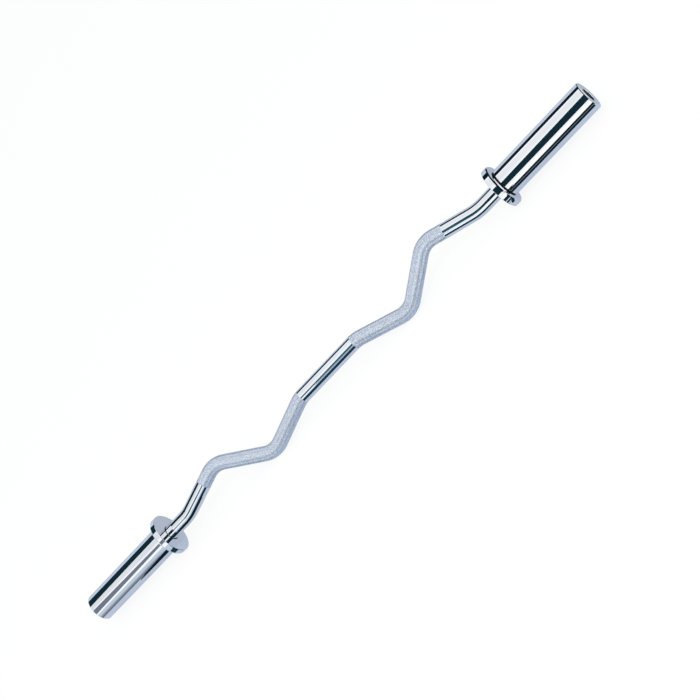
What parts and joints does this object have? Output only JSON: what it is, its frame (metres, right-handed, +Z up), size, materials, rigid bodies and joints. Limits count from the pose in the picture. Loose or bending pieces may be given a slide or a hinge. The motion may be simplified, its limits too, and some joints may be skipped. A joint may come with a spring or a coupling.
{
  "type": "ez curl bar",
  "caption": "Chrome curl bar with a zigzag bent shaft, knurled grips and a turning sleeve for weight plates behind a collar at each end.",
  "frame": {"origin": "middle of the sleeve axis, halfway between the two sleeve ends", "axes": "+X along the sleeve axis towards the right sleeve, +Z up from the floor that the bar lies on"},
  "size_m": [1.194, 0.073, 0.073],
  "materials": {
    "shaft_chrome": "polished chrome plate on steel, knurled at the grips",
    "polished_chrome": "polished chrome plate on steel",
    "bronze": "machined bearing bronze",
    "zinc_steel": "zinc plated steel",
    "black_steel": "black oxide steel"
  },
  "bodies": {
    "shaft": {"shaft": "shaft_chrome", "left_retaining_washer": "zinc_steel", "left_lock_washer": "zinc_steel", "left_end_bolt": "black_steel", "right_retaining_washer": "zinc_steel", "right_lock_washer": "zinc_steel", "right_end_bolt": "black_steel"},
    "left_sleeve": {"left_sleeve": "polished_chrome", "left_collar": "polished_chrome", "left_inner_bush": "bronze", "left_outer_bush": "bronze", "left_inner_thrust_washer": "bronze", "left_outer_thrust_washer": "bronze"},
    "right_sleeve": {"right_sleeve": "polished_chrome", "right_collar": "polished_chrome", "right_inner_bush": "bronze", "right_outer_bush": "bronze", "right_inner_thrust_washer": "bronze", "right_outer_thrust_washer": "bronze"}
  },
  "joints": [
    {"name": "left_sleeve_spin", "type": "hinge", "parent": "shaft", "child": "left_sleeve", "pos_m": [-0.5, 0, 0], "axis": [1, 0, 0], "continuous": true},
    {"name": "right_sleeve_spin", "type": "hinge", "parent": "shaft", "child": "right_sleeve", "pos_m": [0.5, 0, 0], "axis": [1, 0, 0], "continuous": true}
  ]
}
